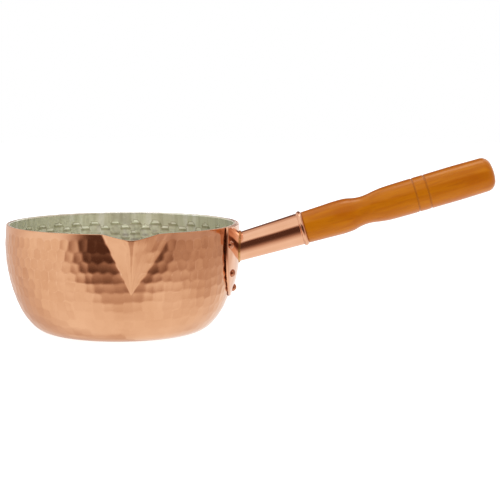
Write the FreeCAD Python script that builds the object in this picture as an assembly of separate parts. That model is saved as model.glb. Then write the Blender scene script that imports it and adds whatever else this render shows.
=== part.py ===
import FreeCAD, Part
import math
import os

# Hammered copper saucepan with a pouring lip and a turned wooden handle.
# Millimetres. The origin is the centre of the base, on the surface that the pan stands on.
# +X runs along the handle in plan, +Z is up, and the pouring lip is on the -Y side.

V = FreeCAD.Vector
UP = V(0, 0, 1)

# The bowl: outer profile of a flat base and three tangent arcs, up to a rim of 183 mm across
BASE_R = 55.0            # radius of the flat base
HEEL_R = 23.8            # arc that turns the base up
HEEL_TURN = 45.2         # slope in degrees where the heel ends
SHOULDER_R = 52.4
SHOULDER_TURN = 66.5     # slope in degrees where the shoulder ends
SIDE_R = 118.9
RIM_Z = 86.8
COPPER = 1.4             # thickness of the sheet
TIN = 0.25               # thickness of the lining

# The pouring lip, seen from above: a V with a round nose
LIP_TURN = -81.5         # its direction round the pan, in degrees from +X
LIP_HALF = 21.3          # half the mouth, corner to centre line
LIP_REACH = 13.5         # how far the nose stands out from the rim
LIP_NOSE_R = 7.0         # radius of the nose at the rim
LIP_DROP = 3.4           # how far the nose lies below the rim
LIP_TIP_Z = 41.0         # where the groove runs out into the wall
LIP_PAST = 3.0           # how far the raw flanks run on through the wall

# The seat plate: a disc cut straight near the rim, dished a little flatter than the bowl, so that
# it touches along the handle's line and stands off at its sides
PLATE_R = 42.0
PLATE_Z = 70.0           # height of the disc's centre
PLATE_TOP = 86.6
PLATE_T = 1.8
PLATE_FLATTER = 5.0      # its radius round the bowl, beyond the bowl's own

# Rivets: place across the handle's line and height, on the bowl's outside
RIVETS = {
    "rivet_upper_near": (-36.0, 73.0),
    "rivet_upper_far": (36.0, 73.0),
    "rivet_middle_near": (-27.5, 50.0),
    "rivet_middle_far": (21.0, 51.5),
    "rivet_lower": (-4.0, 35.6),
}
SHANK_R = 1.8
HEAD_R = 3.1
HEAD_H = 2.3
SET_HEAD_R = 3.3
SET_HEAD_H = 1.1
SKIRT = 0.4              # how far a raw head reaches into the sheet before it is trimmed

# The handle's axis, from a point on the seat plate, rising away from the bowl
AXIS_X = 93.4
AXIS_Z = 67.2
AXIS_RISE = 16.5         # degrees

# The socket tube, by distance along the axis
TUBE_ROOT_R = 11.3
TUBE_MOUTH_R = 13.1
TUBE_GROOVE_S = 50.0     # narrow neck just before the bead
TUBE_MOUTH_S = 55.0
TUBE_WALL = 1.1
BEAD_R = 2.1             # radius of the rolled bead's section
BEAD_OUT_R = 14.15       # outer radius of the bead
BRAZE = 0.9              # leg of the brazing fillet
TUBE_BACK = 14.0         # how far the raw tube starts inside the bowl before it is trimmed

# The turned grip: (distance along the axis, radius) of each swell and waist
GRIP_OUTLINE = [
    (55.2, 12.75), (70.0, 13.25), (84.0, 13.7), (92.0, 13.3), (98.0, 11.95), (103.0, 11.35),
    (108.5, 11.65), (115.0, 12.7), (122.0, 13.5), (137.0, 13.85), (160.0, 14.0), (180.0, 14.1),
    (197.0, 13.85),
]
GRIP_END_S = 210.8
GRIP_CORNER = 8.0        # round of the end's edge
GRIP_END_DOME = 0.9
GROOVES_S = (146.7, 156.5)
GROOVE_R = 0.8
GROOVE_DEPTH = 0.45
TANG_START_S = 16.0
TANG_TIP_CHAMFER = 2.0

# The nail that holds the tang, driven in from the far side
NAIL_S = 34.0
NAIL_R = 0.9
NAIL_LENGTH = 12.0
NAIL_HEAD_R = 2.0
NAIL_HEAD_H = 0.9


def bowl_arcs():
    """Centres of the heel, shoulder and side arcs, as (radius, height)."""
    heel = (BASE_R, HEEL_R)
    a = math.radians(HEEL_TURN)
    shoulder = (heel[0] + (HEEL_R - SHOULDER_R) * math.sin(a),
                heel[1] - (HEEL_R - SHOULDER_R) * math.cos(a))
    b = math.radians(SHOULDER_TURN)
    side = (shoulder[0] + (SHOULDER_R - SIDE_R) * math.sin(b),
            shoulder[1] - (SHOULDER_R - SIDE_R) * math.cos(b))
    return heel, shoulder, side


HEEL_C, SHOULDER_C, SIDE_C = bowl_arcs()


def arc_point(centre, radius, angle):
    """A point of the bowl's profile, where the profile's slope is angle."""
    return V(centre[0] + radius * math.sin(angle), 0, centre[1] - radius * math.cos(angle))


def side_slope(z, inset=0.0):
    """Slope of the side arc at height z."""
    return math.acos((SIDE_C[1] - z) / (SIDE_R - inset))


def wall_radius(z, inset=0.0):
    return SIDE_C[0] + (SIDE_R - inset) * math.sin(side_slope(z, inset))


def form_solid(inset, top, wider=0.0):
    """Everything inside the bowl's outer surface moved in by inset, up to height top.

    With wider, the profile is turned on a circle that much larger and moved back towards -X, so
    that the solid still meets the bowl's surface along the handle's line.
    """
    start = V(BASE_R + wider, 0, inset)
    edges = [Part.makeLine(V(0, 0, inset), start)]
    stations = [
        (HEEL_C, HEEL_R, 0.0, math.radians(HEEL_TURN)),
        (SHOULDER_C, SHOULDER_R, math.radians(HEEL_TURN), math.radians(SHOULDER_TURN)),
        (SIDE_C, SIDE_R, math.radians(SHOULDER_TURN), side_slope(top, inset)),
    ]
    for centre, radius, a0, a1 in stations:
        moved = (centre[0] + wider, centre[1])
        middle = arc_point(moved, radius - inset, (a0 + a1) / 2)
        end = arc_point(moved, radius - inset, a1)
        edges.append(Part.Arc(start, middle, end).toShape())
        start = end
    edges.append(Part.makeLine(start, V(0, 0, top)))
    edges.append(Part.makeLine(V(0, 0, top), V(0, 0, inset)))
    solid = Part.Face(Part.Wire(edges)).revolve(V(0, 0, 0), UP, 360)
    solid.translate(V(-wider, 0, 0))
    return solid


def lip_frame(across, out, z):
    """A point near the lip, from its place across the mouth, distance from the pan's axis, height."""
    a = math.radians(LIP_TURN)
    return V(out * math.cos(a) - across * math.sin(a), out * math.sin(a) + across * math.cos(a), z)


def lip_section(z, inset):
    """Closed outline of the lip at height z: two straight flanks, a round nose and a straight back."""
    grow = (z - LIP_TIP_Z) / (RIM_Z - LIP_TIP_Z)
    half = LIP_HALF * grow
    wall = wall_radius(z, inset)
    corner = math.sqrt(wall ** 2 - half ** 2)
    reach = wall + LIP_REACH * grow - corner
    nose_r = LIP_NOSE_R * grow
    # the flank leaves the corner and touches the nose's circle
    centre_out = corner + reach - nose_r
    gap = math.hypot(half, centre_out - corner)
    lean = math.atan2(half, centre_out - corner) - math.asin(nose_r / gap)
    touch_across = nose_r * math.cos(lean)
    touch_out = centre_out + nose_r * math.sin(lean)
    # each flank is drawn on past its corner, through the wall, so that the two surfaces cross cleanly
    run = math.hypot(half - touch_across, touch_out - corner)
    past_across = half + LIP_PAST * (half - touch_across) / run
    past_out = corner - LIP_PAST * (touch_out - corner) / run
    left = lip_frame(-past_across, past_out, z)
    right = lip_frame(past_across, past_out, z)
    left_touch = lip_frame(-touch_across, touch_out, z)
    right_touch = lip_frame(touch_across, touch_out, z)
    nose = lip_frame(0, centre_out + nose_r, z)
    return Part.Wire([
        Part.makeLine(left, left_touch),
        Part.Arc(left_touch, nose, right_touch).toShape(),
        Part.makeLine(right_touch, right),
        Part.makeLine(right, left),
    ])


def lip_solid(inset, top):
    """The beaten-out lip, lofted from just above its tip to height top."""
    low = LIP_TIP_Z + 1.0 + inset
    steps = 6
    wires = [lip_section(low + (top - low) * i / steps, inset) for i in range(steps + 1)]
    return Part.makeLoft(wires, True, False)


def lip_trim():
    """The wedge above the lip's sloping edge, outside the line between its corners."""
    corner = math.sqrt(wall_radius(RIM_Z) ** 2 - LIP_HALF ** 2)
    reach = wall_radius(RIM_Z) + LIP_REACH - corner
    wedge = Part.Wire([
        Part.makeLine(V(0, corner, RIM_Z), V(0, corner + 2 * reach, RIM_Z - 2 * LIP_DROP)),
        Part.makeLine(V(0, corner + 2 * reach, RIM_Z - 2 * LIP_DROP), V(0, corner + 2 * reach, RIM_Z + 20)),
        Part.makeLine(V(0, corner + 2 * reach, RIM_Z + 20), V(0, corner, RIM_Z + 20)),
        Part.makeLine(V(0, corner, RIM_Z + 20), V(0, corner, RIM_Z)),
    ])
    solid = Part.Face(wedge).extrude(V(4 * LIP_HALF, 0, 0))
    solid.translate(V(-2 * LIP_HALF, 0, 0))
    solid.rotate(V(0, 0, 0), UP, LIP_TURN - 90)
    return solid


def vessel(inset, top):
    """The bowl with its lip, as one solid moved in by inset."""
    return form_solid(inset, top).fuse(lip_solid(inset, top)).removeSplitter()


def cylinder_along_x(radius, z, x0, x1):
    return Part.makeCylinder(radius, x1 - x0, V(x0, 0, z), V(1, 0, 0))


def plate_gap(across, z):
    """How far the plate's inner face stands off the bowl, across the handle's line."""
    bowl_x = math.sqrt(wall_radius(z) ** 2 - across ** 2)
    form_x = math.sqrt((wall_radius(z) + PLATE_FLATTER) ** 2 - across ** 2) - PLATE_FLATTER
    return (form_x - bowl_x) * bowl_x / wall_radius(z)


def make_plate():
    outside = form_solid(-PLATE_T, PLATE_TOP, PLATE_FLATTER)
    shell = outside.cut(form_solid(0, RIM_Z + 5, PLATE_FLATTER)).cut(form_solid(0, RIM_Z + 5))
    return shell.common(cylinder_along_x(PLATE_R, PLATE_Z, BASE_R / 2, 2 * BASE_R))


def rivet_axis(across, z):
    """Point on the bowl's outside and the outward normal there."""
    radius = wall_radius(z)
    turn = math.asin(across / radius)
    slope = side_slope(z)
    point = V(radius * math.cos(turn), across, z)
    normal = V(math.sin(slope) * math.cos(turn), math.sin(slope) * math.sin(turn), -math.cos(slope))
    return point, normal


def turned(edges, point, axis):
    """A solid turned from edges drawn in the XZ plane about Z, put at point along axis."""
    solid = Part.Face(Part.Wire(edges)).revolve(V(0, 0, 0), UP, 360)
    solid.Placement = FreeCAD.Placement(point, FreeCAD.Rotation(UP, axis))
    return solid


def cap_arc(base_r, base_z, height):
    """Arc of a spherical cap, from the edge of its base up to the axis."""
    ball = (base_r ** 2 + height ** 2) / (2 * height)
    half = math.asin(base_r / ball) / 2
    centre_z = base_z + height - ball
    middle = V(ball * math.sin(half), 0, centre_z + ball * math.cos(half))
    return Part.Arc(V(base_r, 0, base_z), middle, V(0, 0, base_z + height)).toShape()


def raw_rivet(point, normal, gap):
    """Dome head, shank and set head, still reaching into the sheets by the skirt."""
    outside = gap + PLATE_T
    inside = -COPPER - TIN
    top = outside + HEAD_H
    rise = 0.3
    set_top = inside - SET_HEAD_H
    edges = [
        Part.makeLine(V(0, 0, set_top), V(SET_HEAD_R - 0.5, 0, set_top)),
        Part.makeLine(V(SET_HEAD_R - 0.5, 0, set_top), V(SET_HEAD_R, 0, set_top + 0.5)),
        Part.makeLine(V(SET_HEAD_R, 0, set_top + 0.5), V(SET_HEAD_R, 0, inside + SKIRT)),
        Part.makeLine(V(SET_HEAD_R, 0, inside + SKIRT), V(SHANK_R, 0, inside + SKIRT)),
        Part.makeLine(V(SHANK_R, 0, inside + SKIRT), V(SHANK_R, 0, outside - SKIRT)),
        Part.makeLine(V(SHANK_R, 0, outside - SKIRT), V(HEAD_R, 0, outside - SKIRT)),
        Part.makeLine(V(HEAD_R, 0, outside - SKIRT), V(HEAD_R, 0, outside + rise)),
    ]
    edges.append(cap_arc(HEAD_R, outside + rise, HEAD_H - rise))
    edges.append(Part.makeLine(V(0, 0, top), V(0, 0, set_top)))
    return turned(edges, point, normal)


def rivet_hole(point, normal):
    length = 20.0
    return Part.makeCylinder(SHANK_R, length, point - normal * (length / 2), normal)


RISE = math.radians(AXIS_RISE)
AXIS_POINT = V(AXIS_X, 0, AXIS_Z)
AXIS = V(math.cos(RISE), 0, math.sin(RISE))


def tube_outside(s):
    """Radius of the tube's outer cone."""
    return TUBE_ROOT_R + (TUBE_MOUTH_R - TUBE_ROOT_R) * s / TUBE_GROOVE_S


def cone_along_axis(s0, r0, s1, r1):
    return Part.makeCone(r0, r1, s1 - s0, AXIS_POINT + AXIS * s0, AXIS)


def make_tube(backing):
    """The tapered socket, cut to the seat plate's face, with the bead rolled at its mouth."""
    outer = cone_along_axis(-TUBE_BACK, tube_outside(-TUBE_BACK), TUBE_MOUTH_S, tube_outside(TUBE_MOUTH_S))
    bead = Part.makeTorus(BEAD_OUT_R - BEAD_R, BEAD_R, AXIS_POINT + AXIS * (TUBE_MOUTH_S - BEAD_R), AXIS)
    return outer.fuse(bead).cut(socket_space()).cut(backing)


def socket_space():
    """The inside of the tube."""
    s1 = TUBE_MOUTH_S + 5
    return cone_along_axis(-TUBE_BACK - 5, tube_outside(-TUBE_BACK - 5) - TUBE_WALL,
                           s1, tube_outside(s1) - TUBE_WALL)


def make_braze(tube, backing):
    """Filler round the root of the socket, bounded by the tube, the plate and a sloping face."""
    reach = form_solid(-PLATE_T - BRAZE, RIM_Z + 5, PLATE_FLATTER)
    ring = cone_along_axis(-TUBE_BACK, tube_outside(-TUBE_BACK) + BRAZE, TUBE_GROOVE_S,
                           tube_outside(TUBE_GROOVE_S) + BRAZE)
    solid_tube = cone_along_axis(-TUBE_BACK, tube_outside(-TUBE_BACK), TUBE_MOUTH_S,
                                 tube_outside(TUBE_MOUTH_S))
    return ring.common(reach).cut(solid_tube).cut(backing)


def make_handle():
    """Grip and tang, turned in one piece."""
    mouth_r = tube_outside(TUBE_MOUTH_S) - TUBE_WALL
    tang_r = tube_outside(TANG_START_S) - TUBE_WALL
    first = GRIP_OUTLINE[0]
    last = GRIP_OUTLINE[-1]
    spline = Part.BSplineCurve()
    spline.interpolate([V(r, 0, s) for s, r in GRIP_OUTLINE])
    slope = (GRIP_OUTLINE[-1][1] - GRIP_OUTLINE[-2][1]) / (GRIP_OUTLINE[-1][0] - GRIP_OUTLINE[-2][0])
    corner_s = GRIP_END_S - GRIP_CORNER
    corner_start = V(last[1] + slope * (corner_s - last[0]), 0, corner_s)
    flat_r = corner_start.x - GRIP_CORNER
    flat_end = V(flat_r, 0, GRIP_END_S)
    half = math.radians(45)
    corner_mid = V(flat_r + GRIP_CORNER * math.sin(half), 0, corner_s + GRIP_CORNER * math.cos(half))
    dome_top = V(0, 0, GRIP_END_S + GRIP_END_DOME)
    edges = [
        Part.makeLine(V(0, 0, TANG_START_S), V(tang_r - TANG_TIP_CHAMFER, 0, TANG_START_S)),
        Part.makeLine(V(tang_r - TANG_TIP_CHAMFER, 0, TANG_START_S),
                      V(tube_outside(TANG_START_S + TANG_TIP_CHAMFER) - TUBE_WALL, 0,
                        TANG_START_S + TANG_TIP_CHAMFER)),
        Part.makeLine(V(tube_outside(TANG_START_S + TANG_TIP_CHAMFER) - TUBE_WALL, 0,
                        TANG_START_S + TANG_TIP_CHAMFER), V(mouth_r, 0, TUBE_MOUTH_S)),
        Part.makeLine(V(mouth_r, 0, TUBE_MOUTH_S), V(first[1], 0, first[0])),
        spline.toShape(),
        Part.makeLine(V(last[1], 0, last[0]), corner_start),
        Part.Arc(corner_start, corner_mid, flat_end).toShape(),
        cap_arc(flat_r, GRIP_END_S, GRIP_END_DOME),
        Part.makeLine(dome_top, V(0, 0, TANG_START_S)),
    ]
    handle = turned(edges, AXIS_POINT, AXIS)
    for s in GROOVES_S:
        ring_r = groove_surface(s) + GROOVE_R - GROOVE_DEPTH
        handle = handle.cut(Part.makeTorus(ring_r, GROOVE_R, AXIS_POINT + AXIS * s, AXIS))
    return handle


def groove_surface(s):
    """Radius of the grip at s, between the two nearest points of its outline."""
    for (s0, r0), (s1, r1) in zip(GRIP_OUTLINE, GRIP_OUTLINE[1:]):
        if s0 <= s <= s1:
            return r0 + (r1 - r0) * (s - s0) / (s1 - s0)
    raise ValueError("no grip at this place")


def make_nail():
    """Round-headed nail through the tube's far side into the tang."""
    side = V(0, 1, 0)
    surface = AXIS_POINT + AXIS * NAIL_S + side * tube_outside(NAIL_S)
    shank = Part.makeCylinder(NAIL_R, NAIL_LENGTH, surface - side * NAIL_LENGTH, side)
    tip = Part.makeCone(0, NAIL_R, 2 * NAIL_R, surface - side * (NAIL_LENGTH + 2 * NAIL_R), side)
    head = Part.makeCylinder(NAIL_HEAD_R, NAIL_HEAD_H + SKIRT, surface - side * SKIRT, side)
    rounded = [e for e in head.Edges if e.CenterOfMass.distanceToPoint(surface) > NAIL_HEAD_H * 0.9]
    head = head.makeFillet(0.5, [e for e in rounded if len(e.Vertexes) == 1])
    return shank.fuse(tip), head


def save(name, shape):
    solids = shape.Solids
    assert shape.isValid() and len(solids) == 1, name
    solid = solids[0]
    solid.exportStep("parts/" + name + ".step")
    box = solid.BoundBox
    print(name, "volume", round(solid.Volume, 1), "box",
          [round(v, 2) for v in (box.XMin, box.YMin, box.ZMin, box.XMax, box.YMax, box.ZMax)])


os.makedirs("parts", exist_ok=True)
high = RIM_Z + 5
trim = lip_trim()
pan = vessel(0, RIM_Z).cut(vessel(COPPER, high)).cut(trim)
lining = vessel(COPPER, RIM_Z).cut(vessel(COPPER + TIN, high)).cut(trim)
plate = make_plate()
backing = form_solid(-PLATE_T, high, PLATE_FLATTER)

axes = {name: rivet_axis(*place) for name, place in RIVETS.items()}
for point, normal in axes.values():
    hole = rivet_hole(point, normal)
    pan = pan.cut(hole)
    lining = lining.cut(hole)
    plate = plate.cut(hole)

tube = make_tube(backing)
braze = make_braze(tube, backing)
handle = make_handle()
nail_shank, nail_head = make_nail()
nail = nail_shank.fuse(nail_head.cut(cone_along_axis(0, tube_outside(0), TUBE_MOUTH_S,
                                                     tube_outside(TUBE_MOUTH_S))))
tube = tube.cut(nail_shank)
handle = handle.cut(nail_shank)

save("pan_body", pan)
save("tin_lining", lining)
save("seat_plate", plate)
for name, (point, normal) in axes.items():
    rivet = raw_rivet(point, normal, plate_gap(*RIVETS[name]))
    save(name, rivet.cut(pan).cut(lining).cut(plate))
save("socket_tube", tube)
save("braze_fillet", braze)
save("wooden_handle", handle)
save("handle_nail", nail)
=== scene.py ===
import bmesh
import bpy
import math
import random
from mathutils import Matrix, Vector, kdtree, noise


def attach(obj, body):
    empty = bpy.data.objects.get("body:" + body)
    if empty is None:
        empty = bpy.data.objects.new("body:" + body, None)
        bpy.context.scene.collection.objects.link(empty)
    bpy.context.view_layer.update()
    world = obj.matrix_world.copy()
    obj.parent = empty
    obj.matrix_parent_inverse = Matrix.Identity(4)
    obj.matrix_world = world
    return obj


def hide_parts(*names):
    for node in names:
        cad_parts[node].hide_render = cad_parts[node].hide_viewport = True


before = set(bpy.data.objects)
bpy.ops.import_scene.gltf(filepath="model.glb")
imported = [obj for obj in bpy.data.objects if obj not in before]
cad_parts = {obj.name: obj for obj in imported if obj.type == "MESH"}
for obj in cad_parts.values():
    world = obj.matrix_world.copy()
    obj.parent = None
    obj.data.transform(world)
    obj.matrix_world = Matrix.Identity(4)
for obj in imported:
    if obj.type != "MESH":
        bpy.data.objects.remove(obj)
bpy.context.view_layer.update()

MM = 0.001


# The studio: a white table under a white sky and a soft light overhead. Round them hangs a cloth tent
# that only reflections see: a dark opening in front where the viewer stands, a dim wall on the right,
# a bright one on the left, a lamp in the roof and the dark room behind.
TABLE_HALF = 3.0
TABLE_COLOUR = (0.45, 0.45, 0.45, 1)
TABLE_GLOW = 0.90
TENT_RADIUS = 4.0
OPENING_LEFT = (-62, -25)    # degrees from straight ahead, from cloth to fully open
OPENING_RIGHT = (66, 30)
OPENING_LOW = (-62, -2)      # degrees above the table, from cloth to fully open
OPENING_HIGH = (40, 22)
TENT_GLOW = 1.10
LAMP_LEAN = math.radians(15)     # how far behind straight up the lamp in the roof hangs
CLOTH_STOPS = [(0.0, (0.062, 0.024, 0.016, 1)), (0.25, (0.34, 0.22, 0.18, 1)), (0.5, (0.62, 0.49, 0.44, 1)),
               (0.75, (0.82, 0.74, 0.70, 1)), (1.0, (1, 1, 1, 1))]
ROOF_COLOUR = (0.98, 0.98, 1.0, 1)
ROOF_LAMP_COLOUR = (2.2, 2.2, 2.3, 1)

camera = bpy.data.objects.new("camera", bpy.data.cameras.new("camera"))
camera.location = (0.1022, -1.298, 0.2143)
camera.rotation_euler = (math.radians(90 - 6.574), 0, 0)
camera.data.sensor_width = 36
camera.data.lens = 117.54
bpy.context.scene.collection.objects.link(camera)
bpy.context.scene.camera = camera
bpy.context.scene.view_settings.view_transform = "Standard"


class Wire:
    """A shader value on its way through a material: maths on it adds the nodes for that maths."""

    def __init__(self, socket):
        self.socket = socket

    def node(self, kind, settings=None, values=None, out=0):
        """Adds a node of any kind: its settings first, then the values or wires of its sockets."""
        tree = self.socket.id_data
        new = tree.nodes.new(kind)
        for name, value in (settings or {}).items():
            if name == "stops":
                ramp = new.color_ramp.elements
                while len(ramp) < len(value):
                    ramp.new(1)
                for stop, (place, colour) in zip(ramp, value):
                    stop.position = place
                    stop.color = colour
            else:
                setattr(new, name, value)
        for name, value in (values or {}).items():
            if isinstance(value, Wire):
                tree.links.new(value.socket, new.inputs[name])
            else:
                new.inputs[name].default_value = value
        return Wire(new.outputs[out])

    def math(self, operation, first, second=0.0):
        return self.node("ShaderNodeMath", {"operation": operation}, {0: first, 1: second})

    def __add__(self, other):
        return self.math("ADD", self, other)

    __radd__ = __add__

    def __sub__(self, other):
        return self.math("SUBTRACT", self, other)

    def __rsub__(self, other):
        return self.math("SUBTRACT", other, self)

    def __mul__(self, other):
        return self.math("MULTIPLY", self, other)

    __rmul__ = __mul__

    def __pow__(self, other):
        return self.math("POWER", self, other)

    def fade(self, low, high, at_low=0.0, at_high=1.0):
        """Smooth change from one value to another as the wire goes from low to high."""
        return self.node("ShaderNodeMapRange", {"interpolation_type": "SMOOTHSTEP"},
                         {"Value": self, "From Min": low, "From Max": high,
                          "To Min": at_low, "To Max": at_high})

    def mix(self, colour_a, colour_b):
        """Colour a where the wire is 0, colour b where it is 1."""
        return self.node("ShaderNodeMix", {"data_type": "RGBA"}, {0: self, 6: colour_a, 7: colour_b}, 2)


def light_the_sky():
    world = bpy.data.worlds.new("studio")
    bpy.context.scene.world = world
    world.use_nodes = True
    background = world.node_tree.nodes["Background"]
    background.inputs["Color"].default_value = (1, 1, 1, 1)
    background.inputs["Strength"].default_value = 1.0


light_the_sky()

lamp = bpy.data.lights.new("overhead", "AREA")
lamp.shape = "RECTANGLE"
lamp.size = 1.1
lamp.size_y = 0.8
lamp.energy = 7.0
overhead = bpy.data.objects.new("overhead", lamp)
overhead.location = (0.05, -0.10, 1.3)
overhead.visible_glossy = False
bpy.context.scene.collection.objects.link(overhead)


def new_piece(name, bm, smooth=True):
    """Turns a finished bmesh into an object at the origin."""
    mesh = bpy.data.meshes.new(name)
    for face in bm.faces:
        face.smooth = smooth
    bm.to_mesh(mesh)
    bm.free()
    piece = bpy.data.objects.new(name, mesh)
    bpy.context.scene.collection.objects.link(piece)
    return piece


def finish_nodes(name):
    """A new material, its surface shader and the wire of its Object coordinates."""
    material = bpy.data.materials.new(name)
    material.use_nodes = True
    nodes = material.node_tree.nodes
    place = Wire(nodes.new("ShaderNodeTexCoord").outputs["Object"])
    return material, nodes["Principled BSDF"], place


def feed(shader, socket, wire):
    """Wires a varying signal into one of the surface shader's sockets."""
    shader.id_data.links.new(wire.socket, shader.inputs[socket])


def make_table():
    bm = bmesh.new()
    bmesh.ops.create_grid(bm, x_segments=1, y_segments=1, size=TABLE_HALF)
    bmesh.ops.translate(bm, vec=(0, 0, -0.0002), verts=bm.verts)
    table = new_piece("table_top", bm, False)
    material, shader, place = finish_nodes("pale_table")
    shader.inputs["Base Color"].default_value = TABLE_COLOUR
    shader.inputs["Roughness"].default_value = 0.8
    shader.inputs["Emission Color"].default_value = (1, 1, 1, 1)
    shader.inputs["Emission Strength"].default_value = TABLE_GLOW
    table.data.materials.append(material)
    table.visible_glossy = False


make_table()


def hang_tent():
    """The tent: its glow depends on the turn from straight ahead and the rise above the table."""
    bm = bmesh.new()
    bmesh.ops.create_uvsphere(bm, u_segments=64, v_segments=32, radius=TENT_RADIUS)
    bmesh.ops.reverse_faces(bm, faces=bm.faces)
    tent = new_piece("tent_cloth", bm)
    material, shader, place = finish_nodes("tent_cloth")
    x, y, z = [place.node("ShaderNodeSeparateXYZ", None, {0: place}, i) for i in range(3)]
    turn = x.math("ARCTAN2", x, 0.0 - y) * math.degrees(1)
    rise = z.math("ARCSINE", z * (1 / TENT_RADIUS)) * math.degrees(1)
    across = (turn - 3.0) * rise.fade(-58, -8, 2.0, 1.0) + 3.0
    opening = across.fade(*OPENING_LEFT) * across.fade(*OPENING_RIGHT)
    opening = opening * rise.fade(*OPENING_LOW) * rise.fade(*OPENING_HIGH)
    behind = turn * turn
    dim_wall = turn.fade(12, 62) * turn.fade(150, 112) * rise.fade(-44, -6)
    dark_room = behind.fade(152 ** 2, 168 ** 2) * rise.fade(5, 11) * rise.fade(62, 50)
    folds = place.node("ShaderNodeMapping", None, {"Vector": place, "Scale": (1.6, 1.6, 0.9)})
    folds = place.node("ShaderNodeTexNoise", None, {"Vector": folds, "Scale": 1.0, "Detail": 3}, 0)
    cloth = turn.fade(-128, -84, 0.68, 0.94) + rise.fade(-25, -60, 0.0, 0.08)
    cloth = cloth - dim_wall * 0.46 + (folds - 0.5) * 0.55
    tone = cloth * (1.0 - opening * 0.97) * (1.0 - dark_room * 0.85)
    colour = place.node("ShaderNodeValToRGB", {"stops": CLOTH_STOPS}, {0: tone}, 0)
    lamp_side = (y * math.sin(LAMP_LEAN) + z * math.cos(LAMP_LEAN)) * (1 / TENT_RADIUS)
    colour = rise.fade(62, 72).mix(colour, ROOF_COLOUR)
    colour = lamp_side.fade(0.975, 0.992).mix(colour, ROOF_LAMP_COLOUR)
    feed(shader, "Emission Color", colour)
    shader.inputs["Emission Strength"].default_value = TENT_GLOW
    shader.inputs["Base Color"].default_value = (0, 0, 0, 1)
    shader.inputs["Specular IOR Level"].default_value = 0
    material.cycles.emission_sampling = "NONE"
    tent.data.materials.append(material)
    tent.visible_camera = False
    tent.visible_diffuse = False
    tent.visible_shadow = False
    tent.visible_transmission = False


hang_tent()


# The bowl: one sheet of copper, raised over stakes, hammered outside in level rows of near-flat
# marks below a plain band at the rim, with the pouring lip beaten out of its side.
BASE_R = 55.0 * MM
HEEL_R = 23.8 * MM
HEEL_TURN = math.radians(45.2)
SHOULDER_R = 52.4 * MM
SHOULDER_TURN = math.radians(66.5)
SIDE_R = 118.9 * MM
RIM_Z = 86.8 * MM
COPPER = 1.4 * MM
AROUND = 600             # columns round the bowl
SIDE_STEPS = 64
SHOULDER_STEPS = 19
HEEL_STEPS = 19
BASE_STEPS = 11

LIP_TURN = math.radians(-81.5)
LIP_HALF = 21.3 * MM
LIP_REACH = 13.2 * MM
LIP_DROP = 3.4 * MM
LIP_TIP_Z = 41.0 * MM
LIP_CROWD = 0.25         # how far the mesh columns crowd in towards the tip
LIP_CREASE = 0.14        # roundness of the crease down the lip, and how much rounder the edge is
LIP_BLUNT = 0.22
LIP_FOLD_SOFT = 5.5 * MM     # rounding where each side of the lip meets the wall
LIP_FOLD_CRISP = 0.8 * MM
LIP_AREA = 50.0 * MM     # half of the stretch of wall whose columns lean towards the lip

HEEL_C = Vector((BASE_R, 0, HEEL_R))
SHOULDER_C = HEEL_C + (HEEL_R - SHOULDER_R) * Vector((math.sin(HEEL_TURN), 0, -math.cos(HEEL_TURN)))
SIDE_C = SHOULDER_C + (SHOULDER_R - SIDE_R) * Vector((math.sin(SHOULDER_TURN), 0, -math.cos(SHOULDER_TURN)))


def slope_at(z, inset=0.0):
    """Slope of the side of the bowl at height z."""
    return math.acos((SIDE_C.z - z) / (SIDE_R - inset))


def wall_radius(z, inset=0.0):
    return SIDE_C.x + (SIDE_R - inset) * math.sin(slope_at(z, inset))


def draw_line(bm, start, end, steps):
    """Carries an edge chain on from start to end in equal steps."""
    for i in range(steps):
        spot = start.co.lerp(end, 1 / (steps - i))
        grown = bmesh.ops.extrude_vert_indiv(bm, verts=[start])["verts"][0]
        grown.co = spot
        start = grown
    return start


def draw_arc(bm, start, centre, angle, steps):
    """Carries an edge chain on from start round a centre, towards the rim for a positive angle."""
    last = bmesh.ops.spin(bm, geom=[start], cent=centre, axis=(0, -1, 0), angle=angle, steps=steps)
    return [v for v in last["geom_last"] if isinstance(v, bmesh.types.BMVert)][0]


def draw_bowl_profile(bm, inset, top, steps):
    """The bowl's profile from the middle of its base to height top, moved in by inset."""
    base, heel, shoulder, side = steps
    start = bm.verts.new((0, 0, inset))
    edge = draw_line(bm, start, Vector((BASE_R, 0, inset)), base)
    edge = draw_arc(bm, edge, HEEL_C, HEEL_TURN, heel)
    edge = draw_arc(bm, edge, SHOULDER_C, SHOULDER_TURN - HEEL_TURN, shoulder)
    return draw_arc(bm, edge, SIDE_C, slope_at(top, inset) - SHOULDER_TURN, side)


def blend_step(x):
    """0 below 0, 1 above 1 and smooth between."""
    x = min(1.0, max(0.0, x))
    return x * x * (3 - 2 * x)


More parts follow.
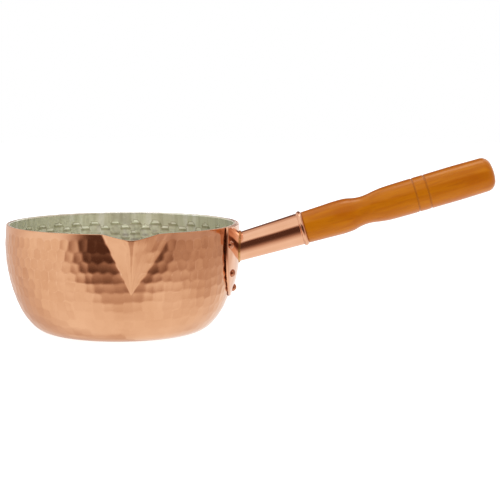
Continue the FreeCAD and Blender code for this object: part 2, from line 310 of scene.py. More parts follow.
def beat_lip(spot):
    """Moves a point of the plain round bowl to where it lies once the lip is beaten out.

    The columns of the mesh lean so that they follow the folds and the crease. Returns the new point,
    the place it has on the plain bowl, and how much of the lip it is, from 0 at the folds to 1.
    """
    radius = math.hypot(spot.x, spot.y)
    turn = math.remainder(math.atan2(spot.y, spot.x) - LIP_TURN, 2 * math.pi)
    across = abs(turn) * wall_radius(RIM_Z)
    if radius < BASE_R or across >= LIP_AREA:
        return spot, spot, 0.0
    grow = (spot.z - LIP_TIP_Z) / (RIM_Z - LIP_TIP_Z)
    crowd = max(grow, LIP_CROWD) if grow > 0 else LIP_CROWD + (1 - LIP_CROWD) * blend_step(-grow * 1.3)
    if across < LIP_HALF:
        moved = across * crowd
    else:
        moved = LIP_HALF * crowd
        moved += (across - LIP_HALF) * (LIP_AREA - moved) / (LIP_AREA - LIP_HALF)
    lean = math.copysign(moved / wall_radius(RIM_Z), turn)
    ahead = Vector((math.cos(LIP_TURN), math.sin(LIP_TURN), 0))
    beside = Vector((-math.sin(LIP_TURN), math.cos(LIP_TURN), 0))
    out = radius * math.cos(lean)
    side = beside * radius * math.sin(lean)
    plain = ahead * out + side + Vector((0, 0, spot.z))
    half = LIP_HALF * grow
    if grow < 0.02 or moved > half * 1.6:
        return plain, plain, 0.0
    share = moved / half
    fold = radius * math.cos(half / wall_radius(RIM_Z))
    nose = radius + LIP_REACH * grow
    blunt = min(0.45, max(0.10, LIP_CREASE / grow)) + LIP_BLUNT * blend_step((grow - 0.70) / 0.25)
    lift = (math.hypot(1, blunt) - math.hypot(share, blunt)) / (math.hypot(1, blunt) - blunt)
    flank = fold + (nose - fold) * lift
    soft = (LIP_FOLD_SOFT if turn > 0 else LIP_FOLD_CRISP) * min(1.0, grow * 2)
    soft = min(soft, (nose - fold) / 2) * blend_step((1.6 - share) * 2.5) * blend_step((share - 0.35) * 3)
    out = (out + flank + math.sqrt((out - flank) ** 2 + soft ** 2)) / 2
    lift = max(0.0, lift)
    placed = ahead * out + side + Vector((0, 0, spot.z - LIP_DROP * lift * grow ** 4))
    return placed, plain, lift


RIDGE_WIDTH = 3.4 * MM   # how near the next mark a point counts as on the ridge between them
MARK_HALF = 4.0 * MM     # half the height of a mark


class HammerMarks:
    """The places where the hammer struck a bowl-shaped surface, and how deep each mark is.

    Rows start at first, a pitch apart, with marks about a width apart. A mark is a hollow of the given
    reach, and each strays a little. Marks in columns are staggered by half a row instead.
    """

    def __init__(self, inset, first, pitch, width, reach, hollow, stray, in_columns, seed):
        dice = random.Random(seed)
        self.hollow = hollow
        self.marks = []
        row = 0
        down = first
        while down < profile_length(inset):
            radius, z = profile_spot(down, inset)
            count = 2 * max(3, round(math.pi * radius / width))
            shift = 0.0 if in_columns else (row % 2) * 0.5 + dice.uniform(-0.12, 0.12)
            for i in range(count):
                turn = 2 * math.pi * (i + shift + dice.uniform(-stray, stray)) / count
                stagger = 0.5 * pitch * (i % 2) if in_columns else 0.0
                r, h = profile_spot(down + stagger + pitch * dice.uniform(-stray, stray), inset)
                self.marks.append((Vector((r * math.cos(turn), r * math.sin(turn), h)),
                                   (reach * dice.uniform(0.93, 1.07)) ** 2, dice.random()))
            down += pitch
            row += 1
        self.tree = kdtree.KDTree(len(self.marks))
        for i, mark in enumerate(self.marks):
            self.tree.insert(mark[0], i)
        self.tree.balance()

    def depth(self, spot):
        """Depth at a point, its nearness to a ridge, its height in its mark, and the mark's own tone."""
        deep = sorted(((self.marks[i][1] - distance ** 2, spot.z - centre.z, self.marks[i][2])
                       for centre, i, distance in self.tree.find_n(spot, 4)), reverse=True)
        first = max(0.0, deep[0][0])
        second = max(0.0, deep[1][0])
        ridge = 1 - min(1.0, (first - second) / RIDGE_WIDTH ** 2)
        high = deep[0][1] / MARK_HALF if first > 0 else 0.0
        own = deep[0][2] if first > 0 else 0.5
        return first * self.hollow, ridge, high, own


def profile_length(inset):
    return ((SIDE_R - inset) * (slope_at(RIM_Z, inset) - SHOULDER_TURN)
            + (SHOULDER_R - inset) * (SHOULDER_TURN - HEEL_TURN)
            + (HEEL_R - inset) * HEEL_TURN + BASE_R)


def profile_spot(down, inset):
    """Radius and height at a distance down the profile from the rim."""
    side = (SIDE_R - inset) * (slope_at(RIM_Z, inset) - SHOULDER_TURN)
    shoulder = (SHOULDER_R - inset) * (SHOULDER_TURN - HEEL_TURN)
    heel = (HEEL_R - inset) * HEEL_TURN
    down = max(0.0, down)
    if down < side:
        centre, radius, angle = SIDE_C, SIDE_R - inset, slope_at(RIM_Z, inset) - down / (SIDE_R - inset)
    elif down < side + shoulder:
        centre, radius = SHOULDER_C, SHOULDER_R - inset
        angle = SHOULDER_TURN - (down - side) / radius
    elif down < side + shoulder + heel:
        centre, radius = HEEL_C, HEEL_R - inset
        angle = HEEL_TURN - (down - side - shoulder) / radius
    else:
        return max(0.0, BASE_R - (down - side - shoulder - heel)), inset
    return centre.x + radius * math.sin(angle), centre.z - radius * math.cos(angle)


def profile_normal(spot, inset):
    """Outward normal of the plain bowl at one of its points."""
    radius = math.hypot(spot.x, spot.y)
    if radius < BASE_R * 0.999:
        return Vector((0, 0, -1))
    for centre, low in ((SIDE_C, SHOULDER_TURN), (SHOULDER_C, HEEL_TURN), (HEEL_C, 0.0)):
        angle = math.atan2(radius - centre.x, centre.z - spot.z)
        if angle >= low - 1e-4:
            break
    flat = Vector((spot.x, spot.y, 0)) / radius
    return flat * math.sin(angle) - Vector((0, 0, math.cos(angle)))


OUTSIDE, EDGE, INSIDE = 0, 1, 2
WEDGES = 20              # a bowl is spun one wedge at a time, which is far quicker


def spin_round(bm, around):
    """Turns everything in the bmesh about Z, all the way round."""
    wedge = 2 * math.pi / WEDGES
    bmesh.ops.spin(bm, geom=bm.verts[:] + bm.edges[:], cent=(0, 0, 0), axis=(0, 0, 1),
                   angle=wedge, steps=around // WEDGES)
    first = bm.verts[:] + bm.edges[:] + bm.faces[:]
    for i in range(1, WEDGES):
        copied = bmesh.ops.duplicate(bm, geom=first)["geom"]
        verts = [v for v in copied if isinstance(v, bmesh.types.BMVert)]
        bmesh.ops.rotate(bm, verts=verts, cent=(0, 0, 0), matrix=Matrix.Rotation(wedge * i, 3, "Z"))
    bmesh.ops.remove_doubles(bm, verts=bm.verts, dist=1e-6)
    bmesh.ops.recalc_face_normals(bm, faces=bm.faces)


def turn_shell(steps_out, steps_in, inset_out, inset_in, edge_round, around):
    """A closed bowl-shaped shell between two insets. Each point knows which skin it belongs to."""
    bm = bmesh.new()
    skin = bm.verts.layers.int.new("skin")
    outer_end = draw_bowl_profile(bm, inset_out, RIM_Z - edge_round, steps_out)
    inner_end = draw_bowl_profile(bm, inset_in, RIM_Z - edge_round, steps_in)
    half_round = edge_round * 0.3
    top_out = Vector((outer_end.co.x - edge_round, 0, RIM_Z))
    top_in = Vector((inner_end.co.x + edge_round, 0, RIM_Z))
    mid_out = Vector((outer_end.co.x - half_round, 0, RIM_Z - half_round))
    mid_in = Vector((inner_end.co.x + half_round, 0, RIM_Z - half_round))
    for vert in bm.verts:
        vert[skin] = OUTSIDE
    previous = outer_end
    for place in (mid_out, top_out, top_in, mid_in):
        vert = bm.verts.new(place)
        vert[skin] = EDGE
        bm.edges.new((previous, vert))
        previous = vert
    bm.edges.new((previous, inner_end))
    bm.verts.ensure_lookup_table()
    walk = inner_end
    seen = {previous}
    while walk:
        walk[skin] = INSIDE
        seen.add(walk)
        ahead = [e.other_vert(walk) for e in walk.link_edges if e.other_vert(walk) not in seen]
        walk = ahead[0] if ahead else None
    spin_round(bm, around)
    return bm, skin


PLATE_R = 42.0 * MM      # the seat plate; painted shade runs round its outline on the bowl
PLATE_Z = 70.0 * MM
PLATE_TOP = 86.6 * MM
CREVICE_SHADE_LOW_Z = 35.0 * MM   # the painted shade is narrow up to here, then widens towards the rim
CREVICE_SHADE_NARROW = 0.5 * MM
CREVICE_SHADE_WIDENS = 1.3 * MM
BEATEN_Z = 60.0 * MM     # height above which the hammering is at its full depth
BEATEN_BASE = 0.22       # share of that depth at the base


def crevice_shade_at(spot):
    """How much painted shade lies at a point of the bowl, along the crevice round the seat plate."""
    if spot.x < 0:
        return 0.0
    off = abs(math.hypot(spot.y, spot.z - PLATE_Z) - PLATE_R)
    width = CREVICE_SHADE_NARROW + CREVICE_SHADE_WIDENS * blend_step((spot.z - CREVICE_SHADE_LOW_Z) / (50 * MM))
    return 1 - min(1.0, off / width)


def make_bowl():
    outside_steps = (BASE_STEPS, HEEL_STEPS, SHOULDER_STEPS, SIDE_STEPS)
    bm, skin = turn_shell(outside_steps, (1, 3, 3, 8), 0.0, COPPER, 0.35 * MM, AROUND)
    ridge_layer = bm.verts.layers.float.new("ridge")
    tone_layer = bm.verts.layers.float.new("tone")
    crevice_shade_layer = bm.verts.layers.float.new("seam")
    marks = HammerMarks(inset=0.0, first=9.8 * MM, pitch=7.85 * MM, width=7.6 * MM, reach=5.25 * MM,
                        hollow=13.0, stray=0.13, in_columns=False, seed=5)
    for vert in bm.verts:
        spot = vert.co.copy()
        placed, plain, lift = beat_lip(spot)
        if vert[skin] == OUTSIDE:
            depth, ridge, high, own = marks.depth(plain)
            beaten = BEATEN_BASE + (1 - BEATEN_BASE) * blend_step(spot.z / BEATEN_Z)
            beaten *= 1 - 0.8 * blend_step(lift * 4)
            placed = placed - profile_normal(plain, 0.0) * (depth * beaten)
            vert[ridge_layer] = ridge * beaten
            vert[tone_layer] = 0.5 + (own - 0.5) * beaten
            # painted shade along the crevice round the seat plate
            vert[crevice_shade_layer] = crevice_shade_at(placed)
        vert.co = placed
    return new_piece("hammered_bowl", bm)


bowl = make_bowl()


RIDGE_HIGHLIGHT_AND_WEAR = (0.85, 0.52, 0.34, 1)    # the ridges: rubbed wear and a painted highlight along each ridge
RIDGE_ROUGHER = 0.12
CREVICE_SHADE_COLOUR = (0.30, 0.095, 0.035, 1)
TINNED_COLOUR = (0.83, 0.83, 0.69, 1)


def copper(name, colour, dull, rough, beaten=None, with_crevice_shade=False, with_tin=False):
    """Polished copper: slow changes of tone and fine scratches.

    Hammered copper is darker in some marks, in the colour beaten, and lighter on its ridges from rubbed
    wear and a painted highlight. Painted shade can darken the crevice round the seat plate. Tin covers what
    the attribute tinned says.
    """
    material, shader, place = finish_nodes(name)
    cloud = place.node("ShaderNodeTexNoise", None, {"Vector": place, "Scale": 28, "Detail": 4}, 0)
    grain = place.node("ShaderNodeTexNoise", None, {"Vector": place, "Scale": 900, "Detail": 3}, 0)
    tone = cloud.fade(0.30, 0.72).mix(colour, dull)
    gloss = cloud.fade(0.2, 0.8, rough * 0.75, rough * 1.3) + grain * 0.03
    if beaten:
        ridge = place.node("ShaderNodeAttribute", {"attribute_name": "ridge"}, None, 2)
        # painted highlight along the ridges, partly rubbed wear, and rougher ridges
        ridge_highlight_and_wear = ridge.fade(0.40, 1.0) * cloud.fade(0.2, 0.6, 0.15, 0.42)
        mark = place.node("ShaderNodeAttribute", {"attribute_name": "tone"}, None, 2)
        tone = mark.fade(0.3, 1.0, 0.0, 0.26).mix(tone, beaten)
        tone = ridge_highlight_and_wear.mix(tone, RIDGE_HIGHLIGHT_AND_WEAR)
        gloss = gloss + ridge_highlight_and_wear * RIDGE_ROUGHER
    if with_crevice_shade:
        # painted shade in the crevice round the seat plate, which is also rougher there
        seam = place.node("ShaderNodeAttribute", {"attribute_name": "seam"}, None, 2)
        seam = (seam + (cloud - 0.5) * 0.25).fade(0.42, 0.62)
        tone = seam.mix(tone, CREVICE_SHADE_COLOUR)
        gloss = gloss + seam * 0.4
    if with_tin:
        tinned = place.node("ShaderNodeAttribute", {"attribute_name": "tinned"}, None, 2)
        tone = tinned.mix(tone, TINNED_COLOUR)
    feed(shader, "Base Color", tone)
    feed(shader, "Roughness", gloss)
    bump = place.node("ShaderNodeBump", None, {"Height": grain, "Strength": 0.05, "Distance": 0.0002})
    feed(shader, "Normal", bump)
    shader.inputs["Metallic"].default_value = 1.0
    return material


bowl.data.materials.append(copper("hammered_copper", (0.755, 0.42, 0.24, 1), (0.69, 0.365, 0.198, 1), 0.10,
                                  beaten=(0.56, 0.26, 0.13, 1), with_crevice_shade=True))
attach(bowl, "root")
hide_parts("pan_body")


# The lining: tin wiped over the hot copper, a quarter of a millimetre thick. The hammering shows
# through it as rows of shallow scales below a plain band.
TIN = 0.25 * MM
TIN_AROUND = 480
TIN_MARK_REACH = 5.8 * MM
TIN_MARK_HOLLOW = 25.0
TIN_CLEAN = (0.84, 0.84, 0.70, 1)
TIN_DULL = (0.76, 0.77, 0.63, 1)
TIN_STREAK_DARK = (0.56, 0.55, 0.40, 1)
TIN_STREAK_LIGHT = (0.97, 0.97, 0.92, 1)
# painted shade and painted highlight of the hammered scales in the lining
TIN_PAINTED_SHADE = (0.36, 0.34, 0.22, 1)
TIN_PAINTED_HIGHLIGHT = (0.95, 0.95, 0.86, 1)
TIN_FLAT_Z = 4.0 * MM    # the base is hammered flatter than the side
TIN_FULL_Z = 26.0 * MM


def make_lining():
    inset = COPPER + TIN
    bm, skin = turn_shell((1, 3, 3, 8), (12, 14, 16, 56), COPPER, inset, 0.1 * MM, TIN_AROUND)
    high_layer = bm.verts.layers.float.new("high")
    marks = HammerMarks(inset=inset, first=12.5 * MM, pitch=8.5 * MM, width=8.6 * MM, reach=TIN_MARK_REACH,
                        hollow=TIN_MARK_HOLLOW, stray=0.05, in_columns=True, seed=11)
    deepest = (TIN_MARK_REACH * 1.07) ** 2 * TIN_MARK_HOLLOW
    for vert in bm.verts:
        spot = vert.co.copy()
        placed, plain, lift = beat_lip(spot)
        if vert[skin] == INSIDE:
            depth, ridge, high, own = marks.depth(plain)
            beaten = 0.3 + 0.7 * blend_step((spot.z - TIN_FLAT_Z) / (TIN_FULL_Z - TIN_FLAT_Z))
            placed = placed - profile_normal(plain, inset) * max(0.0, deepest - depth) * 0.8 * beaten
            vert[high_layer] = high
        vert.co = placed
    return new_piece("tin_skin", bm)


def tin(name):
    """Wiped tin: grey with a green-yellow cast, a soft sheen and wiping streaks down the side.

    A painted highlight runs along the upper edge of each mark, and painted shade lies just under that edge.
    """
    material, shader, place = finish_nodes(name)
    cloud = place.node("ShaderNodeTexNoise", None, {"Vector": place, "Scale": 40, "Detail": 5}, 0)
    streaks = place.node("ShaderNodeMapping", None, {"Vector": place, "Scale": (190, 190, 14)}, 0)
    wiping = place.node("ShaderNodeTexNoise", None, {"Vector": streaks, "Scale": 1, "Detail": 3}, 0)
    high = place.node("ShaderNodeAttribute", {"attribute_name": "high"}, None, 2)
    tone = cloud.fade(0.3, 0.7).mix(TIN_CLEAN, TIN_DULL)
    tone = wiping.fade(0.36, 0.50, 0.4, 0.0).mix(tone, TIN_STREAK_DARK)
    tone = wiping.fade(0.52, 0.66, 0.0, 0.65).mix(tone, TIN_STREAK_LIGHT)
    # painted shade just under the upper edge of each mark, and a painted highlight along that edge
    tone = (high.fade(0.1, 0.6) * high.fade(1.0, 0.8) * 0.75).mix(tone, TIN_PAINTED_SHADE)
    tone = high.fade(0.80, 1.0).mix(tone, TIN_PAINTED_HIGHLIGHT)
    feed(shader, "Base Color", tone)
    feed(shader, "Roughness", cloud.fade(0.2, 0.8, 0.12, 0.22) + wiping * 0.05)
    bump = place.node("ShaderNodeBump", None, {"Height": wiping, "Strength": 0.25, "Distance": 0.0005})
    feed(shader, "Normal", bump)
    shader.inputs["Metallic"].default_value = 0.72
    return material


lining = make_lining()
lining.data.materials.append(tin("wiped_tin"))
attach(lining, "root")
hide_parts("tin_lining")


# The seat plate: a disc of copper cut straight along its top, polished, dished a little flatter
# than the bowl and riveted to it.
PLATE_T = 1.8 * MM
PLATE_FLATTER = 5.0 * MM


def plate_x(across, z, lift=0.0):
    """Where the plate's inner face, or a face lifted off it, lies along X."""
    radius = wall_radius(z, -lift) + PLATE_FLATTER
    return math.sqrt(radius ** 2 - across ** 2) - PLATE_FLATTER


def make_plate():
    bm = bmesh.new()
    crevice_shade_layer = bm.verts.layers.float.new("seam")
    centre = bm.verts.new((0, 0, PLATE_Z))
    draw_line(bm, centre, Vector((0, PLATE_R, PLATE_Z)), 30)
    bmesh.ops.spin(bm, geom=bm.verts[:] + bm.edges[:], cent=(0, 0, PLATE_Z), axis=(1, 0, 0),
                   angle=2 * math.pi, steps=144, use_merge=True)
    bmesh.ops.remove_doubles(bm, verts=bm.verts, dist=1e-6)
    bmesh.ops.bisect_plane(bm, geom=bm.verts[:] + bm.edges[:] + bm.faces[:], plane_co=(0, 0, PLATE_TOP),
                           plane_no=(0, 0, 1), clear_outer=True)
    for face in bm.faces:
        if face.normal.x < 0:
            face.normal_flip()
    for vert in bm.verts:
        vert.co.x = plate_x(vert.co.y, vert.co.z, PLATE_T)
    rim = [e for e in bm.edges if e.is_boundary]
    back = bmesh.ops.duplicate(bm, geom=bm.verts[:] + bm.edges[:] + bm.faces[:])["geom"]
    for vert in back:
        if isinstance(vert, bmesh.types.BMVert):
            vert.co.x = plate_x(vert.co.y, vert.co.z)
    for lift in (PLATE_T * 0.62, PLATE_T * 0.5, 0.0):
        wall = bmesh.ops.extrude_edge_only(bm, edges=rim)["geom"]
        for vert in wall:
            if isinstance(vert, bmesh.types.BMVert):
                vert.co.x = plate_x(vert.co.y, vert.co.z, lift)
                # painted shade on the part of the plate's edge wall that meets the bowl
                vert[crevice_shade_layer] = 1.0 if lift < PLATE_T * 0.4 else 0.0
        rim = [e for e in wall if isinstance(e, bmesh.types.BMEdge) and e.is_boundary]
    bmesh.ops.remove_doubles(bm, verts=bm.verts, dist=1e-6)
    bmesh.ops.recalc_face_normals(bm, faces=bm.faces)
    crest = [e for e in bm.edges if e.calc_face_angle() > 1.0
             and min(v.co.x - plate_x(v.co.y, v.co.z, PLATE_T) for v in e.verts) > -0.1 * MM]
    bmesh.ops.bevel(bm, geom=crest, offset=0.5 * MM, offset_type="OFFSET", segments=4, profile=0.5,
                    affect="EDGES", material=-1)
    for vert in bm.verts:
        dent = noise.noise(vert.co * 55) * 0.22 * MM + noise.noise(vert.co * 140) * 0.05 * MM
        vert.co.x += dent * (1.0 if vert.co.x > plate_x(vert.co.y, vert.co.z, PLATE_T * 0.9) else 0.0)
    return new_piece("handle_seat", bm)


plate = make_plate()
plate.data.materials.append(copper("polished_copper", (0.80, 0.45, 0.28, 1), (0.74, 0.39, 0.23, 1), 0.07,
                                   with_crevice_shade=True))
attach(plate, "root")
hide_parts("seat_plate")


# The rivets: five of copper, through plate and bowl. Each has a dome head beaten to shape outside
# and a flatter set head inside the lining.
RIVETS = {
    "rivet_upper_near": (-36.0 * MM, 73.0 * MM),
    "rivet_upper_far": (36.0 * MM, 73.0 * MM),
    "rivet_middle_near": (-27.5 * MM, 50.0 * MM),
    "rivet_middle_far": (21.0 * MM, 51.5 * MM),
    "rivet_lower": (-4.0 * MM, 35.6 * MM),
}
SHANK_R = 1.8 * MM
HEAD_R = 3.1 * MM
HEAD_H = 2.3 * MM
SET_HEAD_R = 3.3 * MM
SET_HEAD_H = 1.1 * MM


def make_rivet(name, across, z, seed):
    radius = wall_radius(z)
    point = Vector((math.sqrt(radius ** 2 - across ** 2), across, z))
    normal = profile_normal(point, 0.0)
    turn = math.asin(across / radius)
    plate_face = (plate_x(across, z, PLATE_T) - point.x) * math.cos(turn)
    inside = -COPPER - TIN
    bm = bmesh.new()
    start = bm.verts.new((0, 0, inside - SET_HEAD_H))
    edge = draw_line(bm, start, Vector((SET_HEAD_R * 0.62, 0, inside - SET_HEAD_H)), 3)
    edge = draw_line(bm, edge, Vector((SET_HEAD_R * 0.93, 0, inside - SET_HEAD_H * 0.6)), 2)
    edge = draw_line(bm, edge, Vector((SET_HEAD_R, 0, inside + 0.1 * MM)), 2)
    edge = draw_line(bm, edge, Vector((SHANK_R, 0, inside + 0.1 * MM)), 1)
    edge = draw_line(bm, edge, Vector((SHANK_R, 0, plate_face - 0.2 * MM)), 3)
    edge = draw_line(bm, edge, Vector((HEAD_R * 0.97, 0, plate_face - 0.2 * MM)), 1)
    edge = draw_line(bm, edge, Vector((HEAD_R, 0, plate_face + 0.3 * MM)), 1)
    rise = HEAD_H - 0.3 * MM
    ball = (HEAD_R ** 2 + rise ** 2) / (2 * rise)
    centre = Vector((0, 0, plate_face + HEAD_H - ball))
    bmesh.ops.spin(bm, geom=[edge], cent=centre, axis=(0, -1, 0), angle=math.asin(HEAD_R / ball), steps=9)
    bmesh.ops.spin(bm, geom=bm.verts[:] + bm.edges[:], cent=(0, 0, 0), axis=(0, 0, 1),
                   angle=2 * math.pi, steps=36, use_merge=True)
    bmesh.ops.remove_doubles(bm, verts=bm.verts, dist=2e-5)
    bmesh.ops.recalc_face_normals(bm, faces=bm.faces)
    tinned = bm.verts.layers.float.new("tinned")
    for vert in bm.verts:
        vert[tinned] = 1.0 if vert.co.z < inside + 0.2 * MM else 0.0
    dice = random.Random(seed)
    blows = [(Vector((dice.uniform(-1, 1), dice.uniform(-1, 1), dice.uniform(1.2, 2.4))).normalized(),
              dice.uniform(0.88, 0.95)) for i in range(9)]
    middle = Vector((0, 0, plate_face))
    for vert in bm.verts:
        if vert.co.z > plate_face:
            for facing, flat in blows:
                high = (vert.co - centre).dot(facing) - ball * (0.90 + 0.08 * flat)
                if high > 0:
                    vert.co -= facing * high * 0.8
    bmesh.ops.rotate(bm, verts=bm.verts, matrix=normal.to_track_quat("Z", "Y").to_matrix())
    bmesh.ops.translate(bm, vec=point, verts=bm.verts)
    return new_piece("head_of_" + name, bm)


rivet_finish = copper("rivet_copper", (0.56, 0.25, 0.14, 1), (0.40, 0.14, 0.07, 1), 0.16, with_tin=True)
for seed, (name, (across, z)) in enumerate(RIVETS.items()):
    rivet = make_rivet(name, across, z, seed)
    rivet.data.materials.append(rivet_finish)
    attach(rivet, "root")
    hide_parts(name)


# The socket tube: sheet copper rolled to a cone, its end cut to the seat plate's face, and its mouth
# necked in and turned back on itself as a bead.
AXIS_X = 93.4 * MM
AXIS_Z = 67.2 * MM
AXIS_RISE = math.radians(16.5)
TUBE_ROOT_R = 11.3 * MM
TUBE_MOUTH_R = 13.1 * MM
TUBE_GROOVE_S = 50.0 * MM
TUBE_MOUTH_S = 55.0 * MM
TUBE_WALL = 1.1 * MM
BEAD_R = 2.1 * MM
BEAD_OUT_R = 14.15 * MM

AXIS_START = Vector((AXIS_X, 0, AXIS_Z))
# the frame of the handle: its own Z runs along the axis, its X points up and back
TO_HANDLE = Matrix.Translation(AXIS_START) @ Matrix.Rotation(math.pi / 2 - AXIS_RISE, 4, "Y")


def tube_radius(s):
    return TUBE_ROOT_R + (TUBE_MOUTH_R - TUBE_ROOT_R) * s / TUBE_GROOVE_S


def root_of_tube(angle, inwards):
    """How far along the axis a line of the cone starts, where it stands on the seat plate."""
    low, high = -14 * MM, 14 * MM
    for i in range(24):
        s = (low + high) / 2
        r = tube_radius(s) - inwards
        spot = TO_HANDLE @ Vector((r * math.cos(angle), r * math.sin(angle), s))
        if spot.x < plate_x(spot.y, spot.z, PLATE_T):
            low = s
        else:
            high = s
    return s


def make_tube():
    bm = bmesh.new()
    start = bm.verts.new((tube_radius(0), 0, 0))
    neck_s = TUBE_MOUTH_S - 2 * BEAD_R - 0.3 * MM
    edge = draw_line(bm, start, Vector((tube_radius(neck_s) - 0.25 * MM, 0, neck_s)), 44)
    bead = Vector((BEAD_OUT_R - BEAD_R, 0, TUBE_MOUTH_S - BEAD_R))
    from_neck = math.acos((edge.co.x - bead.x) / BEAD_R) if abs(edge.co.x - bead.x) < BEAD_R else 0.0
    edge = draw_line(bm, edge, bead + Vector((math.cos(from_neck), 0, -math.sin(from_neck))) * BEAD_R, 1)
    edge = draw_arc(bm, edge, bead, from_neck + math.radians(100), 14)
    mouth_in = tube_radius(TUBE_MOUTH_S) - TUBE_WALL
    edge = draw_line(bm, edge, Vector((mouth_in, 0, TUBE_MOUTH_S - 0.2 * MM)), 2)
    edge = draw_line(bm, edge, Vector((tube_radius(0) - TUBE_WALL, 0, 0)), 12)
    bm.edges.new((edge, start))
    bmesh.ops.spin(bm, geom=bm.verts[:] + bm.edges[:], cent=(0, 0, 0), axis=(0, 0, 1),
                   angle=2 * math.pi, steps=128, use_merge=True)
    bmesh.ops.remove_doubles(bm, verts=bm.verts, dist=1e-6)
    bmesh.ops.recalc_face_normals(bm, faces=bm.faces)
    for vert in bm.verts:
        angle = math.atan2(vert.co.y, vert.co.x)
        s = vert.co.z
        near_root = max(0.0, 1 - s / neck_s)
        r = math.hypot(vert.co.x, vert.co.y)
        inwards = TUBE_WALL if r < tube_radius(s) - TUBE_WALL / 2 else 0.0
        moved = s + root_of_tube(angle, inwards) * near_root
        wander = noise.noise(Vector((math.cos(angle) * 1.3, math.sin(angle) * 1.3, s * 45)))
        r += (TUBE_MOUTH_R - TUBE_ROOT_R) * (moved - s) / TUBE_GROOVE_S + 0.06 * MM * wander
        vert.co = TO_HANDLE @ Vector((r * math.cos(angle), r * math.sin(angle), moved))
    return new_piece("socket", bm)


tube = make_tube()
tube.data.materials.append(copper("socket_copper", (0.80, 0.455, 0.29, 1), (0.75, 0.40, 0.24, 1), 0.09))
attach(tube, "root")
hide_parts("socket_tube")


# The brazing: a thin fillet of yellow brass, run hot round the root of the socket.
def brass(name, colour, dull, rough):
    material, shader, place = finish_nodes(name)
    cloud = place.node("ShaderNodeTexNoise", None, {"Vector": place, "Scale": 260, "Detail": 4}, 0)
    feed(shader, "Base Color", cloud.fade(0.35, 0.65).mix(colour, dull))
    feed(shader, "Roughness", cloud.fade(0.2, 0.8, rough * 0.8, rough * 1.3))
    bump = place.node("ShaderNodeBump", None, {"Height": cloud, "Strength": 0.3, "Distance": 0.0003})
    feed(shader, "Normal", bump)
    shader.inputs["Metallic"].default_value = 1.0
    return material


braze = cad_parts["braze_fillet"]
braze.data.materials.clear()
braze.data.materials.append(brass("brazing_brass", (0.76, 0.47, 0.19, 1), (0.52, 0.25, 0.11, 1), 0.36))


# The handle: one turned piece of wood, waisted for the grip, with two fine grooves and a rounded
# end. Its tang fits the socket. It is stained amber and lacquered.
GRIP_OUTLINE = [
    (55.2, 12.75), (70.0, 13.25), (84.0, 13.7), (92.0, 13.3), (98.0, 11.95), (103.0, 11.35),
    (108.5, 11.65), (115.0, 12.7), (122.0, 13.5), (137.0, 13.85), (160.0, 14.0), (180.0, 14.1),
    (197.0, 13.85),
]
GRIP_END_S = 210.8 * MM
GRIP_CORNER = 8.0 * MM
GRIP_END_DOME = 0.9 * MM
GROOVES_S = (146.7 * MM, 156.5 * MM)
GROOVE_R = 0.8 * MM
GROOVE_DEPTH = 0.45 * MM
WOOD_LIGHT = (0.415, 0.122, 0.0020, 1)
WOOD_DARK = (0.355, 0.090, 0.0012, 1)
WOOD_MOTTLE = (0.310, 0.060, 0.001, 1)
WOOD_PORE = (0.20, 0.042, 0.001, 1)
GROOVE_PAINTED_SHADE = (0.30, 0.080, 0.003, 1)
LACQUER_TINT = (1.0, 0.66, 0.22, 1)
TANG_START_S = 16.0 * MM


def grip_radius(s):
    """Radius of the grip at s: a smooth curve through its outline, less the grooves."""
    places = [(a * MM, r * MM) for a, r in GRIP_OUTLINE]
    slopes = [0.0] * len(places)
    for i in range(1, len(places) - 1):
        slopes[i] = (places[i + 1][1] - places[i - 1][1]) / (places[i + 1][0] - places[i - 1][0])
    slopes[0] = (places[1][1] - places[0][1]) / (places[1][0] - places[0][0])
    slopes[-1] = (places[-1][1] - places[-2][1]) / (places[-1][0] - places[-2][0])
    if s >= places[-1][0]:
        return places[-1][1] + slopes[-1] * (s - places[-1][0])
    i = max(k for k in range(len(places) - 1) if places[k][0] <= s + 1e-9)
    (s0, r0), (s1, r1) = places[i], places[i + 1]
    span = s1 - s0
    t = (s - s0) / span
    radius = ((2 * t ** 3 - 3 * t ** 2 + 1) * r0 + (t ** 3 - 2 * t ** 2 + t) * span * slopes[i]
              + (3 * t ** 2 - 2 * t ** 3) * r1 + (t ** 3 - t ** 2) * span * slopes[i + 1])
    for groove in GROOVES_S:
        off = abs(s - groove)
        if off < GROOVE_R:
            radius -= max(0.0, math.sqrt(GROOVE_R ** 2 - off ** 2) - (GROOVE_R - GROOVE_DEPTH))
    return radius


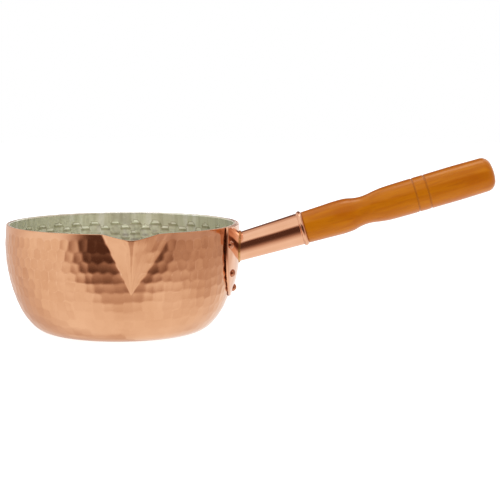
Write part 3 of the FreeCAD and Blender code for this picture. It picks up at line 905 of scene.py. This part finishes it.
def make_handle():
    bm = bmesh.new()
    edge = bm.verts.new((0, 0, TANG_START_S))
    edge = draw_line(bm, edge, Vector((tube_radius(TANG_START_S) - TUBE_WALL - 2 * MM, 0, TANG_START_S)), 2)
    lead = TANG_START_S + 2 * MM
    edge = draw_line(bm, edge, Vector((tube_radius(lead) - TUBE_WALL, 0, lead)), 1)
    edge = draw_line(bm, edge, Vector((tube_radius(TUBE_MOUTH_S) - TUBE_WALL, 0, TUBE_MOUTH_S)), 12)
    corner_s = GRIP_END_S - GRIP_CORNER
    s = GRIP_OUTLINE[0][0] * MM
    while s < corner_s - 0.3 * MM:
        edge = draw_line(bm, edge, Vector((grip_radius(s), 0, s)), 1)
        near_groove = min(abs(s - groove) for groove in GROOVES_S) < 1.3 * MM
        s += 0.16 * MM if near_groove else 1.1 * MM
    edge = draw_line(bm, edge, Vector((grip_radius(corner_s), 0, corner_s)), 1)
    centre = Vector((edge.co.x - GRIP_CORNER, 0, corner_s))
    edge = draw_arc(bm, edge, centre, math.radians(84), 14)
    edge_r = edge.co.x
    edge_s = edge.co.z
    for i in range(1, 9):
        r = edge_r * (1 - i / 8)
        high = edge_s + GRIP_END_DOME * 0.9 * (1 - (r / edge_r) ** 2)
        edge = draw_line(bm, edge, Vector((r, 0, high)), 1)
    bmesh.ops.spin(bm, geom=bm.verts[:] + bm.edges[:], cent=(0, 0, 0), axis=(0, 0, 1),
                   angle=2 * math.pi, steps=112, use_merge=True)
    bmesh.ops.remove_doubles(bm, verts=bm.verts, dist=1e-6)
    bmesh.ops.recalc_face_normals(bm, faces=bm.faces)
    bmesh.ops.transform(bm, matrix=TO_HANDLE, verts=bm.verts)
    return new_piece("turned_grip", bm)


def lacquered_wood(name):
    """Amber wood: long grain lines, fine pores and slow mottling under a tinted lacquer."""
    material, shader, place = finish_nodes(name)
    along = place.node("ShaderNodeVectorRotate", {"rotation_type": "Y_AXIS"},
                       {"Vector": place, "Center": AXIS_START, "Angle": AXIS_RISE})
    grain_place = place.node("ShaderNodeMapping", None, {"Vector": along, "Scale": (22, 210, 210)})
    grain = place.node("ShaderNodeTexNoise", None, {"Vector": grain_place, "Scale": 1, "Detail": 6,
                                                   "Distortion": 0.8}, 0)
    pore_place = place.node("ShaderNodeMapping", None, {"Vector": along, "Scale": (90, 1300, 1300)})
    pores = place.node("ShaderNodeTexNoise", None, {"Vector": pore_place, "Scale": 1, "Detail": 2}, 0)
    mottle_place = place.node("ShaderNodeMapping", None, {"Vector": along, "Scale": (30, 70, 70)})
    mottle = place.node("ShaderNodeTexNoise", None, {"Vector": mottle_place, "Scale": 1, "Detail": 4}, 0)
    colour = grain.fade(0.33, 0.68).mix(WOOD_LIGHT, WOOD_DARK)
    colour = (mottle.fade(0.46, 0.74) * 0.5).mix(colour, WOOD_MOTTLE)
    colour = (pores.fade(0.58, 0.72) * 0.22).mix(colour, WOOD_PORE)
    s = place.node("ShaderNodeSeparateXYZ", None, {0: along}, 0) - AXIS_X
    # painted shade in the two grooves, darkest along each groove's middle
    for groove in GROOVES_S:
        off = place.math("ABSOLUTE", s - groove)
        colour = off.fade(0.25 * MM, 1.1 * MM, 0.8, 0.0).mix(colour, GROOVE_PAINTED_SHADE)
    feed(shader, "Base Color", colour)
    feed(shader, "Roughness", grain.fade(0.3, 0.7, 0.14, 0.22))
    feed(shader, "Normal", place.node("ShaderNodeBump", None,
                                      {"Height": mottle, "Strength": 0.12, "Distance": 0.0008}))
    shader.inputs["Specular IOR Level"].default_value = 0.6
    shader.inputs["Specular Tint"].default_value = LACQUER_TINT
    facing = place.node("ShaderNodeLayerWeight", None, {"Blend": 0.5}, 1)
    feed(shader, "Coat Weight", facing.fade(0.12, 0.5, 0.02, 0.12))
    shader.inputs["Coat Roughness"].default_value = 0.10
    shader.inputs["Coat IOR"].default_value = 1.5
    return material


handle = make_handle()
handle.data.materials.append(lacquered_wood("lacquered_wood"))
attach(handle, "root")
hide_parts("wooden_handle")


# The nail: a small round-headed brass nail, driven through the socket's far side into the tang.
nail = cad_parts["handle_nail"]
nail.data.materials.clear()
nail.data.materials.append(brass("nail_brass", (0.80, 0.60, 0.28, 1), (0.62, 0.40, 0.16, 1), 0.2))
